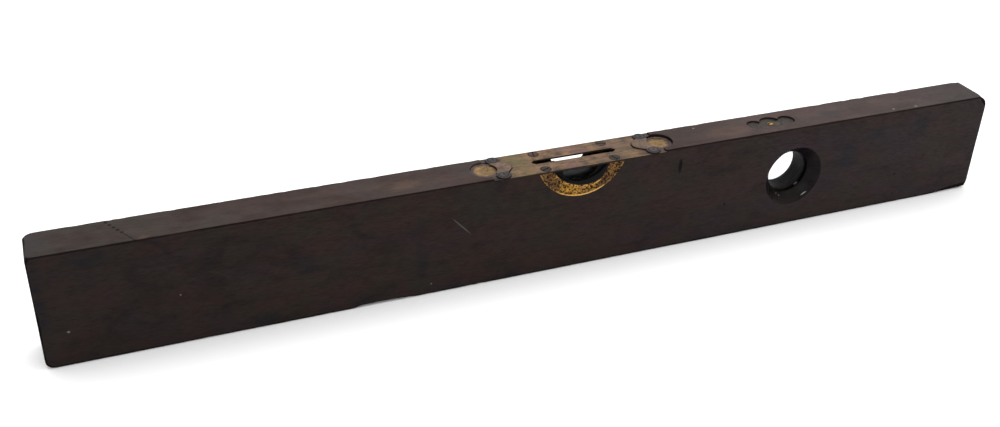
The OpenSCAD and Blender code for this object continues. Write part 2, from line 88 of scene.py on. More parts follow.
# Sizes that the source gives its profiles
DISH_RADIUS = 24 * MM
DISC_OFFSET = 66 * MM
LIP_RADIUS = 34.5 * MM
LIP_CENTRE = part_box("front_side_lip")[0].z + LIP_RADIUS

# Centre of the olive stain on the plumb plate
OLIVE_SPOT = middle_of("plumb_plate") + Vector((4, -1, 0)) * MM


# Node materials

# Sockets of a mix node that belong to its colour mode
MIX_SHARE, MIX_FIRST, MIX_SECOND, MIX_RESULT = 0, 6, 7, 2


class Surface:
    """One material, with short calls for the nodes that it is made of."""

    def __init__(self, name):
        self.material = bpy.data.materials.new(name)
        self.material.use_nodes = True
        self.tree = self.material.node_tree
        self.shader = self.tree.nodes["Principled BSDF"]
        self.place = self.node("ShaderNodeTexCoord").outputs["Object"]
        self.normal = None

    def node(self, kind, **settings):
        made = self.tree.nodes.new(kind)
        for key, value in settings.items():
            setattr(made, key, value)
        return made

    def feed(self, socket, value):
        if isinstance(value, bpy.types.NodeSocket):
            self.tree.links.new(value, socket)
        elif socket.type == "RGBA" and len(value) == 3:
            socket.default_value = (*value, 1)
        else:
            socket.default_value = value

    def math(self, operation, first, second=0.5, third=0.0):
        made = self.node("ShaderNodeMath", operation=operation)
        for socket, value in zip(made.inputs, (first, second, third)):
            self.feed(socket, value)
        return made.outputs[0]

    def times(self, first, second):
        return self.math("MULTIPLY", first, second)

    def stretch(self, scale, shift=(0, 0, 0)):
        """The piece's own coordinates, in metres, times a scale along each axis."""
        made = self.node("ShaderNodeMapping")
        self.feed(made.inputs["Vector"], self.place)
        made.inputs["Scale"].default_value = scale
        made.inputs["Location"].default_value = shift
        return made.outputs[0]

    def axis(self, name):
        made = self.node("ShaderNodeSeparateXYZ")
        self.feed(made.inputs[0], self.place)
        return made.outputs[name]

    def facing(self, name):
        """How far the surface faces along an axis of the piece."""
        made = self.node("ShaderNodeSeparateXYZ")
        self.feed(made.inputs[0], self.node("ShaderNodeTexCoord").outputs["Normal"])
        return made.outputs[name]

    def painted(self, name):
        """An amount that the mesh carries at each of its points."""
        return self.node("ShaderNodeAttribute", attribute_name=name).outputs["Fac"]

    def noise(self, vector, detail=3.0, roughness=0.5, distortion=0.0):
        """Cloudy noise whose size comes from the scale of its coordinates."""
        made = self.node("ShaderNodeTexNoise")
        self.feed(made.inputs["Vector"], vector)
        settings = {"Scale": 1.0, "Detail": detail, "Roughness": roughness, "Distortion": distortion}
        for key, value in settings.items():
            made.inputs[key].default_value = value
        return made.outputs["Fac"]

    def span(self, value, low, high, start=0.0, end=1.0):
        """Value from low to high, spread from start to end and held there."""
        made = self.node("ShaderNodeMapRange", interpolation_type="SMOOTHSTEP")
        for socket, given in zip(made.inputs, (value, low, high, start, end)):
            self.feed(socket, given)
        return made.outputs[0]

    def mix(self, share, first, second):
        """The first colour where the share is 0, the second where it is 1."""
        made = self.node("ShaderNodeMix", data_type="RGBA", blend_type="MIX")
        self.feed(made.inputs[MIX_SHARE], share)
        self.feed(made.inputs[MIX_FIRST], first)
        self.feed(made.inputs[MIX_SECOND], second)
        return made.outputs[MIX_RESULT]

    def around(self, centre, size, turn=(0, 0, 0)):
        """The piece's coordinates measured from a centre, in turned axes and in units of a size."""
        made = self.node("ShaderNodeMapping", vector_type="TEXTURE")
        self.feed(made.inputs["Vector"], self.place)
        made.inputs["Location"].default_value = centre
        made.inputs["Scale"].default_value = size
        made.inputs["Rotation"].default_value = turn
        return made.outputs[0]

    def spot(self, centre, size, soft=0.5, turn=(0, 0, 0)):
        """1 in a soft-edged oval patch round a point, 0 outside it."""
        length = self.node("ShaderNodeVectorMath", operation="LENGTH")
        self.feed(length.inputs[0], self.around(centre, size, turn))
        return self.span(length.outputs["Value"], 1 - soft, 1.0, 1.0, 0.0)

    def bump(self, height, depth, strength=1.0):
        made = self.node("ShaderNodeBump")
        self.feed(made.inputs["Height"], height)
        made.inputs["Distance"].default_value = depth
        made.inputs["Strength"].default_value = strength
        if self.normal is not None:
            self.feed(made.inputs["Normal"], self.normal)
        self.normal = made.outputs[0]
        self.feed(self.shader.inputs["Normal"], self.normal)

    def set(self, **values):
        """Feeds the shader's sockets, which are named with underscores for spaces."""
        for key, value in values.items():
            self.feed(self.shader.inputs[key.replace("_", " ")], value)


def shade(colour, factor, lift=0.0):
    """A colour made darker or lighter by a factor, and lifted by an amount."""
    return tuple(factor * part + lift for part in colour)


def metres(lengths):
    """Turns lengths in millimetres into metres."""
    return [length * MM for length in lengths]


# Tones of the bare wood, its stains and its dirt, and of painted shade and painted light
WOOD = {
    "red_brown": (0.0235, 0.0122, 0.0102),
    "brown": (0.0182, 0.0130, 0.0104),
    "stain": (0.0108, 0.0080, 0.0082),
    "purple": (0.0195, 0.0120, 0.0158),
    "olive": (0.0200, 0.0162, 0.0115),
    "pale_end": (0.030, 0.0215, 0.0235),
    "dark_end": (0.0085, 0.0068, 0.0072),
    "green": (0.0165, 0.0152, 0.0115),
    "cool_tint_and_shade": (0.0088, 0.0084, 0.0106),
    "cold_pale": (0.0150, 0.0145, 0.0175),
    "fibre": (0.0068, 0.0042, 0.0037),
    "grain": (0.0075, 0.005, 0.0045),
    "pore": (0.003, 0.0022, 0.002),
    "worn_edge": (0.0060, 0.0045, 0.0047),
    # Painted shade in the pocket behind the lips
    "hollow_and_shade": (0.0028, 0.0026, 0.0027),
    # Painted light on the wall round the left disc
    "seat_painted_light": (0.060, 0.044, 0.040),
}

# Tones of the dust and the rubbed polish on the upper face, and of the painted sheen that makes it paler
TOP_DUST_AND_SHEEN = {
    "dark_left": (0.0225, 0.0150, 0.0128),
    "dark": (0.0345, 0.0215, 0.0190),
    "light_left": (0.0370, 0.0250, 0.0215),
    "light": (0.0560, 0.0360, 0.0325),
    "pink": (0.088, 0.060, 0.056),
    "grey_end": (0.034, 0.029, 0.0315),
    "olive": (0.0395, 0.0335, 0.0290),
    "fibre": (0.022, 0.0145, 0.013),
    "warm": (0.088, 0.052, 0.037),
    "cool_tint_and_shade": (0.034, 0.031, 0.0315),
}


def wood():
    """Very dark old mahogany: mottled patches crossed by short fibres, with a dusty top made paler by
    painted sheen.
    """
    look = Surface("dark_wood")
    patch = look.noise(look.stretch((24, 40, 44), (3.1, 0.4, 7.7)), detail=4, roughness=0.62, distortion=0.5)
    stain = look.noise(look.stretch((36, 52, 60), (8.3, 2.2, 1.5)), detail=5, roughness=0.66, distortion=0.7)
    fibre = look.noise(look.stretch((170, 1300, 1300)), detail=3, roughness=0.6)
    grain = look.noise(look.stretch((14, 330, 330), (0.7, 5.1, 2.6)), detail=4, roughness=0.6)
    pores = look.span(look.noise(look.stretch((130, 2100, 2100)), detail=1), 0.6, 0.72)
    pale = look.span(look.axis("X"), -0.1, 0.34)
    # Cool tint in patches, which along the foot of the front is painted shade
    cool_tint_and_shade = look.times(look.painted("cool_tint_and_shade"), look.span(stain, 0.36, 0.58, 0.2, 0.9))

    colour = wood_face(look, patch, stain, pale)
    colour = look.mix(cool_tint_and_shade, colour, look.mix(pale, WOOD["cool_tint_and_shade"], WOOD["cold_pale"]))
    colour = look.mix(look.span(fibre, 0.4, 0.68, 0.0, 0.5), colour, WOOD["fibre"])
    colour = look.mix(look.span(grain, 0.48, 0.66, 0.0, 0.25), colour, WOOD["grain"])
    colour = look.mix(look.span(pores, 0.0, 1.0, 0.0, 0.5), colour, WOOD["pore"])
    # The upper face gets dust and painted sheen
    colour = look.mix(look.span(look.facing("Z"), 0.5, 0.9), colour, top_dust_and_sheen(look, fibre, grain, cool_tint_and_shade))
    colour = look.mix(look.span(look.math("ABSOLUTE", look.facing("X")), 0.55, 0.9), colour, end_grain(look))
    worn = look.math("ADD", look.painted("wear"), look.times(patch, 0.5))
    rub = look.span(worn, 0.65, 1.05, 0.0, 0.8)
    colour = look.mix(rub, colour, WOOD["worn_edge"])
    colour = wood_marks(look, colour)
    colour = cut_wood(look, colour)
    colour, inside = port_lining(look, colour)

    look.bump(look.times(pores, -1.0), 0.00012)
    look.bump(grain, 0.0001, 0.6)
    look.bump(fibre, 0.00006, 0.7)
    unworn = look.span(rub, 0.0, 0.8, 1.0, 0.0)
    look.set(
        Base_Color=colour,
        Roughness=look.span(inside, 0.0, 1.0, look.span(stain, 0.35, 0.7, 0.46, 0.66), 0.3),
        Specular_IOR_Level=look.times(look.span(inside, 0.0, 1.0, 0.06, 0.09), unworn),
    )
    return look.material


def wood_face(look, patch, stain, pale):
    """The faces' own colour: mottled, paler and more purple to the right, darker at the left end."""
    hue = look.noise(look.stretch((20, 34, 38), (5.5, 1.2, 3.3)), detail=4, roughness=0.7)
    purple = look.span(hue, 0.46, 0.62, 0.0, look.span(pale, 0.0, 0.5, 0.4, 0.75))
    olive = look.span(hue, 0.34, 0.48, look.span(pale, 0.0, 0.5, 0.4, 0.12), 0.0)
    green = look.times(look.painted("green"), look.span(patch, 0.3, 0.55, 0.2, 0.8))
    colour = look.mix(look.span(patch, 0.38, 0.62), WOOD["red_brown"], WOOD["brown"])
    colour = look.mix(look.span(stain, 0.46, 0.7, 0.0, 0.75), colour, WOOD["stain"])
    colour = look.mix(purple, colour, WOOD["purple"])
    colour = look.mix(olive, colour, WOOD["olive"])
    colour = look.mix(look.times(pale, 0.3), colour, WOOD["pale_end"])
    colour = look.mix(look.span(look.axis("X"), -0.2, -0.34, 0.0, 0.3), colour, WOOD["dark_end"])
    return look.mix(green, colour, WOOD["green"])


def top_dust_and_sheen(look, fibre, grain, cool_tint_and_shade):
    """Pinkish-grey dust and rubbed polish on the upper face, with painted sheen that makes it paler than the
    sides and paler towards the right end.
    """
    dust = look.noise(look.stretch((42, 95, 95), (1.0, 5.0, 2.0)), detail=5, roughness=0.66)
    hue = look.noise(look.stretch((26, 50, 50), (2.0, 9.0, 4.0)), detail=3, roughness=0.6)
    # Painted sheen: the face grows paler from the left end rightwards, and pinker past the middle
    rise = look.span(look.axis("X"), -0.34, -0.1)
    further = look.span(look.axis("X"), 0.08, 0.16)
    dark = look.mix(rise, TOP_DUST_AND_SHEEN["dark_left"], TOP_DUST_AND_SHEEN["dark"])
    light = look.mix(rise, TOP_DUST_AND_SHEEN["light_left"], TOP_DUST_AND_SHEEN["light"])
    colour = look.mix(look.span(dust, 0.3, 0.7), dark, light)
    colour = look.mix(look.times(further, 0.5), colour, TOP_DUST_AND_SHEEN["pink"])
    colour = look.mix(look.span(look.axis("X"), 0.25, 0.34, 0.0, 0.65), colour, TOP_DUST_AND_SHEEN["grey_end"])
    colour = look.mix(look.span(hue, 0.42, 0.6, 0.0, 0.55), colour, TOP_DUST_AND_SHEEN["olive"])
    colour = look.mix(look.span(grain, 0.45, 0.68, 0.0, 0.22), colour, dark)
    colour = look.mix(look.span(fibre, 0.45, 0.7, 0.0, 0.25), colour, TOP_DUST_AND_SHEEN["fibre"])
    warm = look.times(look.painted("warm"), look.span(dust, 0.35, 0.6, 0.15, 0.7))
    colour = look.mix(warm, colour, TOP_DUST_AND_SHEEN["warm"])
    return look.mix(cool_tint_and_shade, colour, TOP_DUST_AND_SHEEN["cool_tint_and_shade"])


def cut_wood(look, colour):
    """Painted shade in the pocket behind the lips, and painted light on the wall round the left disc, which
    hides the shade of its recess.
    """
    # Painted shade: the pocket behind the lips is made nearly black
    hollow_and_shade = look.spot((LEVEL.x, 0, TOP - 6 * MM), (60 * MM, 16 * MM, 26 * MM), soft=0.15)
    colour = look.mix(hollow_and_shade, colour, WOOD["hollow_and_shade"])
    # Painted light: the recess wall round the left disc is made paler to hide its shade
    wall = look.spot((LEVEL.x - DISC_OFFSET, 0, TOP), (11.2 * MM, 11.2 * MM, 5 * MM), soft=0.03)
    return look.mix(look.times(wall, 0.75), colour, WOOD["seat_painted_light"])


def end_grain(look):
    """The sawn ends: dark, with faint curved year rings and open pores."""
    # The tree's heart lies below the stock along x, so x is scaled away
    heart = (0, -0.03, -0.09)
    from_heart = look.node("ShaderNodeVectorMath", operation="LENGTH")
    look.feed(from_heart.inputs[0], look.around(heart, (1e4, 1, 1)))
    bend = look.times(look.noise(look.stretch((60, 60, 60)), detail=3), 14)
    ring = look.math("SINE", look.math("MULTIPLY_ADD", from_heart.outputs["Value"], 2600, bend))
    fading = look.span(look.noise(look.stretch((40, 90, 90), (1, 7, 3))), 0.35, 0.65, 0.15, 1.0)
    ring = look.times(ring, fading)
    pore = look.noise(look.stretch((900, 900, 900), (2, 2, 9)), detail=3)
    colour = look.mix(look.span(ring, -0.9, 1.1), (0.0092, 0.0062, 0.0055), (0.0150, 0.0096, 0.0083))
    return look.mix(look.span(pore, 0.54, 0.66, 0.0, 0.7), colour, (0.003, 0.0024, 0.0022))


def port_lining(look, colour):
    """Glossy black-brown dishes, and a bare grey bore with pale streaks along it."""
    dish = look.spot(PORT, (DISH_RADIUS + 0.1 * MM, 1, DISH_RADIUS + 0.1 * MM), soft=0.012)
    bore = look.spot(PORT, (BORE_RADIUS + 0.25 * MM, 1, BORE_RADIUS + 0.25 * MM), soft=0.012)
    smear = look.noise(look.stretch((120, 120, 120), (6, 6, 6)), detail=4, roughness=0.6)
    streak = look.noise(look.stretch((90, 1100, 90)), detail=3, roughness=0.6)
    low = look.span(look.axis("Z"), PORT.z + 2 * MM, PORT.z - 16 * MM)
    lacquer = look.mix(look.span(smear, 0.35, 0.7), (0.0022, 0.0010, 0.0021), (0.0058, 0.0030, 0.0046))
    lacquer = look.mix(look.times(low, look.span(smear, 0.3, 0.6)), lacquer, (0.0078, 0.0052, 0.0042))
    wall = look.mix(look.span(streak, 0.46, 0.66), (0.0042, 0.0041, 0.0043), (0.0180, 0.0178, 0.0182))
    colour = look.mix(dish, colour, lacquer)
    colour = look.mix(bore, colour, wall)
    scratches = [
        ((197.0, -9.0, 26.0), (9.0, 6.0, 5.0), -0.6, (0.0110, 0.0105, 0.0120)),
        ((194.0, -4.2, 27.7), (2.8, 1.6, 0.9), -0.6, (0.30, 0.29, 0.30)),
        ((196.1, -13.6, 23.2), (3.7, 1.6, 0.36), -0.57, (0.3, 0.29, 0.28)),
        ((176.4, -9.9, 23.2), (0.7, 1.2, 0.5), 0.0, (0.2, 0.17, 0.13)),
        ((174.0, -9.3, 25.0), (0.6, 1.2, 0.5), 0.0, (0.2, 0.17, 0.13)),
    ]
    for centre, size, turn, tone in scratches:
        mark = look.spot(metres(centre), metres(size), soft=0.8, turn=(0, turn, 0))
        colour = look.mix(mark, colour, tone)
    return colour, look.math("SUBTRACT", dish, look.times(bore, 0.8))


def wood_marks(look, colour):
    """Small marks at their own places on the front and the top."""
    front = -HALF_WIDTH / MM
    top = TOP / MM
    pale = (0.2, 0.165, 0.15)
    faint = (0.12, 0.103, 0.092)
    black = (0.003, 0.0026, 0.0026)
    ink = (0.0006, 0.0006, 0.0006)
    marks = [
        ((-338.6, front, 25.3), (1.2, 2.0, 0.9), 0.0, faint),
        ((-269.7, front, 37.2), (0.7, 2.0, 0.7), 0.0, faint),
        ((105.9, 9.3, top), (1.1, 0.8, 2.0), 0.0, pale),
        ((268.4, -10.7, top), (1.2, 1.0, 2.0), 0.0, pale),
        ((288.1, -11.9, top), (1.5, 0.9, 2.0), 0.0, pale),
        ((83.3, front, 67.2), (2.0, 2.0, 7.6), 0.0, black),
        ((83.5, front, 68.2), (1.2, 2.0, 6.0), 0.08, ink),
        ((-103.9, front, 8.4), (0.8, 2.0, 0.8), 0.0, (0.1, 0.09, 0.05)),
        ((278.8, front, 26.3), (1.7, 2.0, 1.1), 0.3, black),
        ((125.0, front, 27.8), (1.3, 2.0, 1.6), 0.0, black),
        ((-81.9, front, 49.9), (0.7, 2.0, 12.2), -0.733, (0.052, 0.044, 0.043)),
    ]
    for centre, size, turn, tone in marks:
        mark = look.spot(metres(centre), metres(size), turn=(0, turn, 0))
        colour = look.mix(mark, colour, tone)
    return look.mix(pricked_line(look), colour, black)


# Number of dots in the pricked line
PRICKS = 8.0


def pricked_line(look):
    """Dots pricked in a row across the top near the left end, joined by a thin scribed line."""
    start = Vector((-307.3, 13.7, 0)) * MM
    end = Vector((-291.2, -15.8, 0)) * MM
    row = end - start
    along = look.around(start, (row.length / PRICKS, MM, MM), (0, 0, math.atan2(row.y, row.x)))
    parts = look.node("ShaderNodeSeparateXYZ")
    look.feed(parts.inputs[0], along)
    count = parts.outputs["X"]
    step = look.math("SUBTRACT", look.math("FRACT", count), 0.5)
    beside = look.math("ABSOLUTE", parts.outputs["Y"])
    from_dot = look.math("ADD", look.times(look.math("ABSOLUTE", step), 2.3), look.times(beside, 0.55))
    dots = look.times(look.span(from_dot, 0.55, 1.0, 0.95, 0.0), look.span(count, 5.0, 5.6, 1.0, 0.3))
    line = look.times(look.span(beside, 0.15, 0.6, 0.85, 0.0), look.span(count, 3.5, 5.5, 0.15, 0.9))
    inside = look.times(look.math("GREATER_THAN", count, 0.0), look.math("LESS_THAN", count, PRICKS))
    upper = look.times(inside, look.span(look.facing("Z"), 0.5, 0.8))
    return look.times(look.math("MAXIMUM", dots, line), upper)


def brass(name, dark, light, patch, pit, tarnish, pits=0.5, patches=0.5, rough=(0.38, 0.62), grain=0.5,
          side_shade=0.0, worn=0.9, speckle=(0.56, 0.68), fine=1150, streaks=0.0):
    """Old brass: mottled tones, dark pits, tarnish and painted highlight where they are painted on, and
    painted shade on its side faces, in the seams and where else it is painted on.
    """
    look = Surface(name)
    tone = look.noise(look.stretch((150, 170, 170)), detail=5, roughness=0.62)
    cloud = look.noise(look.stretch((62, 90, 90), (4, 1, 2)), detail=3, roughness=0.55)
    speck = look.noise(look.stretch((fine, fine, fine)), detail=3, roughness=0.6)
    brush = look.noise(look.stretch((140, 2600, 2600)), detail=2)
    colour = look.mix(look.span(tone, 0.34, 0.66), dark, light)
    colour = look.mix(look.span(cloud, 0.48, 0.66, 0.0, patches), colour, patch)
    dull = look.mix(look.span(tone, 0.3, 0.7), shade(tarnish, 0.6), tarnish)
    colour = look.mix(look.painted("tint"), colour, dull)
    # Painted highlight where it is painted on
    colour = look.mix(look.painted("rub_and_highlight"), colour, shade(light, 1.3, 0.055))
    olive = look.times(look.painted("olive"), look.span(cloud, 0.3, 0.55, 0.3, 1.0))
    colour = look.mix(olive, colour, (0.135, 0.106, 0.046))
    colour = look.mix(look.span(brush, 0.35, 0.75, 0.0, 0.25 * grain), colour, dark)
    if streaks > 0:
        streak = look.noise(look.stretch((55, 900, 900), (3, 3, 1)), detail=4, roughness=0.65)
        colour = look.mix(look.span(streak, 0.5, 0.66, 0.0, streaks), colour, shade(light, 1.15))
        colour = look.mix(look.span(streak, 0.34, 0.5, streaks, 0.0), colour, dark)
    eaten = look.span(look.painted("wear"), 0.35, 0.8, 0.0, worn)
    hollow_and_shade = look.math("MAXIMUM", look.span(speck, *speckle, 0.0, pits), eaten)
    # Painted shade: faces that don't face up are darkened
    if side_shade > 0:
        hollow_and_shade = look.math("MAXIMUM", hollow_and_shade, look.span(look.facing("Z"), 0.3, 0.7, side_shade, 0.0))
    hollow_and_shade = look.times(hollow_and_shade, look.span(look.painted("rub_and_highlight"), 0.3, 0.8, 1.0, 0.2))
    colour = look.mix(hollow_and_shade, colour, pit)
    # Painted shade where it is painted on: in seams, in slots and along the lips' opening
    shade_and_grime = look.span(look.painted("shade_and_grime"), 0.1, 0.7)
    hollow_and_shade = look.math("MAXIMUM", hollow_and_shade, shade_and_grime)
    colour = look.mix(shade_and_grime, colour, (0.0062, 0.0058, 0.0062))
    look.bump(look.times(speck, -1.0), 0.00009 * (0.4 + pits))
    look.bump(brush, 0.00003, grain)
    look.set(
        Base_Color=colour,
        Metallic=look.span(hollow_and_shade, 0.0, 1.0, 0.85, 0.2),
        Specular_IOR_Level=look.span(hollow_and_shade, 0.0, 1.0, 0.4, 0.05),
        Roughness=look.span(look.math("ADD", tone, speck), 0.8, 1.25, *rough),
    )
    return look.material


def steel(name, dark, light, rust, rusty=0.4, rough=0.5):
    """Old steel with a dark skin, specks of rust, and brown dust where it is painted on."""
    look = Surface(name)
    tone = look.noise(look.stretch((420, 420, 420)), detail=4, roughness=0.65)
    speck = look.noise(look.stretch((1100, 1100, 1100), (5, 5, 1)), detail=3)
    cloud = look.span(tone, 0.35, 0.68)
    colour = look.mix(cloud, dark, light)
    colour = look.mix(look.span(speck, 0.52, 0.68, 0.0, rusty), colour, rust)
    dust = look.mix(cloud, (0.060, 0.046, 0.045), (0.100, 0.076, 0.074))
    colour = look.mix(look.painted("tint"), colour, dust)
    look.bump(speck, 0.00006)
    look.set(Base_Color=colour, Metallic=0.7, Roughness=look.span(tone, 0.3, 0.7, rough, rough + 0.2))
    return look.material


def plaster():
    look = Surface("plaster")
    tone = look.noise(look.stretch((500, 500, 500)), detail=5, roughness=0.7)
    look.bump(tone, 0.0002)
    colour = look.mix(look.span(tone, 0.35, 0.7), (0.36, 0.32, 0.26), (0.62, 0.57, 0.48))
    look.set(Base_Color=colour, Roughness=0.9)
    return look.material


def clear(name, colour, index, rough, haze, gloss=0.5, side=None):
    """Glass, spirit or air, with a faint uneven film on it and, on glass, painted shade on the faces that
    look to the front and back.
    """
    look = Surface(name)
    film = look.noise(look.stretch((260, 320, 320)), detail=3)
    look.bump(film, 0.00002, 0.08)
    colour = look.mix(look.span(film, 0.45, 0.8, 0.0, haze), colour, shade(colour, 0.6))
    roughness = look.span(film, 0.4, 0.8, rough, rough + 0.08)
    if side is not None:
        # Painted shade: the glass is darker and duller on its front and back faces
        glass_side_shade = look.span(look.math("ABSOLUTE", look.facing("Y")), 0.25, 0.55)
        colour = look.mix(glass_side_shade, colour, side)
        roughness = look.math("MAXIMUM", roughness, look.times(glass_side_shade, 0.6))
        gloss = look.span(glass_side_shade, 0.0, 1.0, gloss, 0.0)
    look.set(Base_Color=colour, Roughness=roughness, Specular_IOR_Level=gloss, Transmission_Weight=1.0,
             IOR=index)
    return look.material


MATERIALS = {
    "dark_wood": wood(),
    "aged_brass": brass(
        "aged_brass", dark=(0.060, 0.037, 0.024), light=(0.242, 0.143, 0.077), patch=(0.190, 0.104, 0.088),
        pit=(0.016, 0.011, 0.008), tarnish=(0.064, 0.048, 0.045), pits=0.12, patches=0.8,
        rough=(0.42, 0.62), grain=0.8, side_shade=0.96, worn=0.22, streaks=0.55),
    "golden_brass": brass(
        "golden_brass", dark=(0.155, 0.088, 0.030), light=(0.345, 0.215, 0.088), patch=(0.25, 0.16, 0.075),
        pit=(0.035, 0.02, 0.01), tarnish=(0.088, 0.064, 0.061), pits=0.45, patches=0.4,
        rough=(0.36, 0.6), grain=0.2, worn=0.6),
    "brown_brass": brass(
        "brown_brass", dark=(0.092, 0.060, 0.044), light=(0.19, 0.125, 0.086), patch=(0.14, 0.085, 0.066),
        pit=(0.022, 0.016, 0.013), tarnish=(0.050, 0.041, 0.043), pits=0.3, patches=0.6,
        rough=(0.42, 0.64), grain=0.3, side_shade=0.85, worn=0.5),
    "grey_brass": brass(
        "grey_brass", dark=(0.030, 0.025, 0.022), light=(0.058, 0.048, 0.041), patch=(0.049, 0.037, 0.029),
        pit=(0.012, 0.010, 0.009), tarnish=(0.05, 0.045, 0.04), pits=0.35, patches=0.5,
        rough=(0.46, 0.68), grain=0.3, worn=0.5),
    "dark_steel": steel("dark_steel", dark=(0.020, 0.020, 0.022), light=(0.055, 0.053, 0.055),
                        rust=(0.045, 0.028, 0.021)),
    "steel": steel("steel", dark=(0.2, 0.2, 0.2), light=(0.4, 0.4, 0.39), rust=(0.16, 0.09, 0.05),
                   rusty=0.25, rough=0.35),
    "plaster": plaster(),
    # The glass's side colour is painted shade
    "clear_glass": clear("clear_glass", (0.5, 0.56, 0.6), index=1.47, rough=0.12, haze=0.25, gloss=0.12,
                         side=(0.21, 0.24, 0.26)),
    # Spirit tinted nearly black: painted shade inside the vial
    "spirit": clear("spirit", (0.035, 0.046, 0.056), index=1.36, rough=0.0, haze=0.2, gloss=0.2),
    "bubble": clear("bubble", (0.97, 0.98, 0.97), index=1.0, rough=0.0, haze=0.1),
}

# Brass of the lips, which is more golden and more eaten than their slot's, and of the plate's screws
LIP_BRASS = brass(
    "lip_brass", dark=(0.085, 0.032, 0.006), light=(0.42, 0.218, 0.028), patch=(0.18, 0.076, 0.015),
    pit=(0.011, 0.004, 0.002), tarnish=(0.075, 0.039, 0.022), pits=1.0, patches=0.45,
    rough=(0.32, 0.56), grain=0.1, worn=0.85, speckle=(0.46, 0.58), fine=800)
SCREW_BRASS = brass(
    "screw_brass", dark=(0.036, 0.022, 0.017), light=(0.080, 0.046, 0.036), patch=(0.095, 0.045, 0.036),
    pit=(0.010, 0.007, 0.006), tarnish=(0.042, 0.035, 0.026), pits=0.4, patches=0.6,
    rough=(0.5, 0.68), grain=0.2, side_shade=0.8, worn=0.5)
SLOT_OF = {part["node"]: part["material_slot"] for part in frame["record"]["subparts"]}


def dress(piece, slot):
    piece.data.materials.clear()
    piece.data.materials.append(MATERIALS[slot])


# Mesh tools

def clamp(value):
    return min(1.0, max(0.0, value))


def welded_copy(node):
    """The node's mesh as one closed bmesh, with flat regions joined into single faces."""
    shape = bmesh.new()
    shape.from_mesh(NODES[node].data)
    bmesh.ops.remove_doubles(shape, verts=shape.verts, dist=0.002 * MM)
    bmesh.ops.dissolve_limit(shape, angle_limit=math.radians(0.5), verts=shape.verts, edges=shape.edges)
    return shape


def round_edges(shape, width):
    """Bevels every edge that is clearly sharp."""
    least_angle = math.radians(32)
    sharp = [edge for edge in shape.edges if edge.is_manifold and edge.calc_face_angle() > least_angle]
    bmesh.ops.bevel(shape, geom=sharp, offset=width, segments=2, profile=0.5, affect="EDGES",
                    clamp_overlap=True)


def cut_across(shape, axis, places):
    """Cuts the whole shape by planes square to one axis, to give it points to move."""
    normal = Vector([float(i == axis) for i in range(3)])
    for place in places:
        bmesh.ops.bisect_plane(shape, geom=shape.verts[:] + shape.edges[:] + shape.faces[:],
                               dist=1e-7, plane_co=normal * place, plane_no=normal)


def steps(low, high, step):
    """Places between two bounds, about a step apart, off round numbers so that no cut meets an edge."""
    count = max(1, round((high - low) / step))
    return [low + (high - low) * (i + 0.47) / count for i in range(count)]


def finish_piece(shape, name, node, material=None, rigid=True):
    """Makes the shape a piece that stands for a node, has its slot and, if it is rigid, rides with it."""
    mesh = bpy.data.meshes.new(name)
    bmesh.ops.triangulate(shape, faces=[face for face in shape.faces if len(face.verts) > 4])
    shape.to_mesh(mesh)
    shape.free()
    for kind in ("custom_normal", "sharp_face", "sharp_edge"):
        if kind in mesh.attributes:
            mesh.attributes.remove(mesh.attributes[kind])
    mesh.shade_smooth()
    mesh.set_sharp_from_angle(angle=math.radians(38))
    piece = bpy.data.objects.new(name, mesh)
    bpy.context.scene.collection.objects.link(piece)
    piece.data.materials.append(material or MATERIALS[SLOT_OF[node]])
    if rigid:
        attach(piece, NODES[node]["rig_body"])
    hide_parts(node)
    return piece


def paint(shape, name, amounts):
    """Gives every point of the shape an amount that its material reads."""
    layer = shape.verts.layers.float.new(name)
    for vert, amount in zip(shape.verts, amounts):
        vert[layer] = amount


def paint_measures(shape, painted):
    """Paints each named amount by its own measure of a point."""
    for name, measure in (painted or {}).items():
        paint(shape, name, [measure(vert.co) for vert in shape.verts])


def near(nodes, reach):
    """A measure of how close a point is to some nodes: 1 at them, 0 beyond the reach."""
    meshes = [NODES[node].data for node in nodes]
    trees = [
        BVHTree.FromPolygons([vert.co for vert in mesh.vertices], [face.vertices for face in mesh.polygons])
        for mesh in meshes
    ]

    def amount(point):
        found = [tree.find_nearest(point, reach)[3] for tree in trees]
        return 1 - min([distance for distance in found if distance is not None], default=reach) / reach

    return amount


# The wooden stock

def edge_places(half, step):
    """Cuts close together near both faces and wider apart between them."""
    margins = [0.35 * MM, 0.8 * MM, 1.4 * MM, 2.2 * MM, 3.4 * MM, 5.0 * MM]
    inner = steps(-half + 6.5 * MM, half - 6.5 * MM, step)
    return [-half + margin for margin in margins] + inner + [half - margin for margin in margins]


def edge_round(x, low):
    """Radius to which a long edge is worn at a place along the stock."""
    slow = noise.noise(Vector((x * 14, 3.7 if low else 9.1, 0)))
    fast = noise.noise(Vector((x * 110, 1.3 if low else 6.4, 0)))
    return MM * (0.95 + 0.5 * slow + 0.35 * fast)


def depth_in_stock(point):
    """Distance from a point to the nearer outer face of the stock along each axis."""
    return HALF_LENGTH - abs(point.x), HALF_WIDTH - abs(point.y), min(point.z, TOP - point.z)


def rounded(point):
    """The point, moved in so that the edges near it are round instead of square."""
    low = point.z < TOP / 2
    near_end = max(0.0, abs(point.x) / HALF_LENGTH - 0.985) / 0.015
    radius = edge_round(point.x, low) + 0.8 * MM * near_end
    depth = Vector(depth_in_stock(point))
    inside = Vector([min(0.0, part - radius) for part in depth])
    deepest = max(-part for part in inside)
    if inside.length < 1e-9 or deepest == inside.length:
        return point
    moved = inside * (deepest / inside.length)
    depth = Vector([new + radius if old < 0 else part for new, old, part in zip(moved, inside, depth)])
    x = math.copysign(HALF_LENGTH - depth.x, point.x)
    y = math.copysign(HALF_WIDTH - depth.y, point.y)
    return Vector((x, y, depth.z if low else TOP - depth.z))


